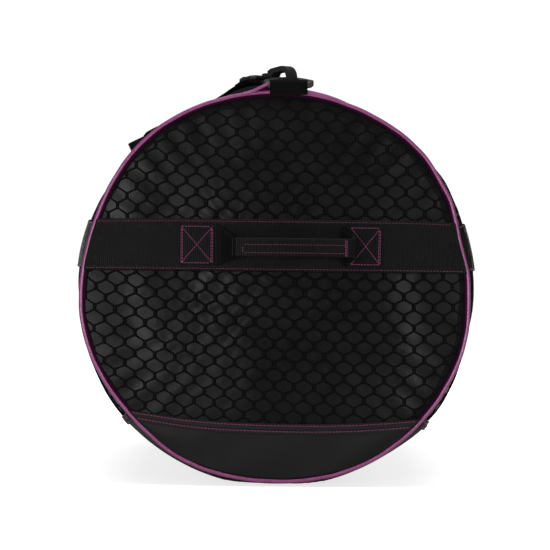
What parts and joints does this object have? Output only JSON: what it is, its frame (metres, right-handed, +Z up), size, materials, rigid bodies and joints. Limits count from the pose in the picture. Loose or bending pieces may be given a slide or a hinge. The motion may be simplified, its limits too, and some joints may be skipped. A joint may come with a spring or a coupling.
{
  "type": "gear bag",
  "caption": "Barrel-shaped sports gear bag lying on its side, with mesh panels, a smooth boot, contrast piping, end grab handles, a zipped top and a clip-on shoulder strap.",
  "frame": {"origin": "on the floor below the middle of the bag", "axes": "+X right as seen from the front end, +Y along the bag from its front end to its rear end, +Z up"},
  "size_m": [0.412, 0.8432, 0.4043],
  "materials": {
    "mesh": "matte black hexagonal mesh over a dark lining",
    "lining": "satin dark grey lining cloth",
    "vinyl": "matte black coated cloth",
    "webbing": "ribbed black webbing with magenta stitching",
    "piping": "smooth magenta piping",
    "zip": "black zip tape with moulded teeth",
    "zip_metal": "black enamel",
    "plastic": "moulded black plastic",
    "pad": "padded black cloth"
  },
  "bodies": {
    "bag": {"boot_panel": "vinyl", "left_boot_hem": "vinyl", "right_boot_hem": "vinyl", "left_side_panel": "mesh", "right_side_panel": "mesh", "front_top_panel": "mesh", "rear_top_panel": "mesh", "left_side_band": "webbing", "right_side_band": "webbing", "front_zip_end": "zip", "rear_zip_end": "zip", "front_lining": "lining", "front_mesh": "mesh", "front_boot": "vinyl", "front_boot_hem": "vinyl", "front_band": "webbing", "front_piping": "piping", "front_seam_binding": "lining", "front_handle_left_anchor": "webbing", "front_handle_right_anchor": "webbing", "front_handle_left_leg": "webbing", "front_handle_right_leg": "webbing", "front_ring_tab": "webbing", "front_hook_loop": "plastic", "front_strap_end": "webbing", "rear_lining": "lining", "rear_mesh": "mesh", "rear_boot": "vinyl", "rear_boot_hem": "vinyl", "rear_band": "webbing", "rear_piping": "piping", "rear_seam_binding": "lining", "rear_handle_left_anchor": "webbing", "rear_handle_right_anchor": "webbing", "rear_handle_left_leg": "webbing", "rear_handle_right_leg": "webbing", "rear_ring_tab": "webbing", "rear_hook_loop": "plastic", "rear_strap_end": "webbing"},
    "left_flap": {"left_zip_flap": "mesh", "left_zip_tape": "zip"},
    "right_flap": {"right_zip_flap": "mesh", "right_zip_tape": "zip"},
    "zip_slider": {"zip_slider": "zip_metal"},
    "zip_pull": {"zip_pull": "zip_metal"},
    "front_d_ring": {"front_d_ring": "plastic"},
    "rear_d_ring": {"rear_d_ring": "plastic"},
    "front_hook": {"front_hook": "plastic"},
    "rear_hook": {"rear_hook": "plastic"},
    "front_gate": {"front_gate": "plastic"},
    "rear_gate": {"rear_gate": "plastic"},
    "front_handle": {"front_handle_grip": "webbing"},
    "rear_handle": {"rear_handle_grip": "webbing"},
    "strap": {"shoulder_strap": "webbing", "shoulder_pad": "pad", "strap_adjuster": "plastic"}
  },
  "joints": [
    {"name": "left_flap_open", "type": "hinge", "parent": "bag", "child": "left_flap", "pos_m": [-0.06152, 0, 0.36946], "axis": [0, -1, 0], "range_deg": [0, 100]},
    {"name": "right_flap_open", "type": "hinge", "parent": "bag", "child": "right_flap", "pos_m": [0.06152, 0, 0.36946], "axis": [0, 1, 0], "range_deg": [0, 100]},
    {"name": "zip_slide", "type": "slide", "parent": "bag", "child": "zip_slider", "axis": [0, 1, 0], "range_m": [0, 0.57]},
    {"name": "zip_pull_swing", "type": "hinge", "parent": "zip_slider", "child": "zip_pull", "pos_m": [0, -0.285, 0.38375], "axis": [-1, 0, 0], "range_deg": [0, 160]},
    {"name": "front_ring_rock", "type": "hinge", "parent": "bag", "child": "front_d_ring", "pos_m": [0.01, -0.38, 0.3846], "axis": [1, 0, 0], "range_deg": [-1, 4]},
    {"name": "rear_ring_rock", "type": "hinge", "parent": "bag", "child": "rear_d_ring", "pos_m": [0.01, 0.38, 0.3846], "axis": [-1, 0, 0], "range_deg": [-1, 4]},
    {"name": "front_hook_swivel", "type": "hinge", "parent": "bag", "child": "front_hook", "pos_m": [-0.00831, -0.34227, 0.3941], "axis": [0.638, -0.7603, 0.1219], "range_deg": [-7, 7]},
    {"name": "rear_hook_swivel", "type": "hinge", "parent": "bag", "child": "rear_hook", "pos_m": [-0.00831, 0.34227, 0.3941], "axis": [0.638, 0.7603, 0.1219], "range_deg": [-7, 7]},
    {"name": "front_gate_open", "type": "hinge", "parent": "front_hook", "child": "front_gate", "pos_m": [-0.00052, -0.35157, 0.38149], "axis": [-0.766, -0.6428, 0], "range_deg": [0, 15], "stiffness_Nm_per_rad": 0.05},
    {"name": "rear_gate_open", "type": "hinge", "parent": "rear_hook", "child": "rear_gate", "pos_m": [-0.00052, 0.35157, 0.38149], "axis": [0.766, -0.6428, 0], "range_deg": [0, 15], "stiffness_Nm_per_rad": 0.05},
    {"name": "front_handle_swing", "type": "hinge", "parent": "bag", "child": "front_handle", "pos_m": [0, -0.391, 0.2308], "axis": [-1, 0, 0], "range_deg": [0, 45], "deforming": ["front_handle_left_leg", "front_handle_right_leg"]},
    {"name": "rear_handle_swing", "type": "hinge", "parent": "bag", "child": "rear_handle", "pos_m": [0, 0.391, 0.2308], "axis": [1, 0, 0], "range_deg": [0, 45], "deforming": ["rear_handle_left_leg", "rear_handle_right_leg"]},
    {"name": "strap_swing", "type": "hinge", "parent": "bag", "child": "strap", "pos_m": [-0.02311, 0, 0.39127], "axis": [0, 1, 0], "range_deg": [0, 115], "deforming": ["front_strap_end", "rear_strap_end"]}
  ]
}
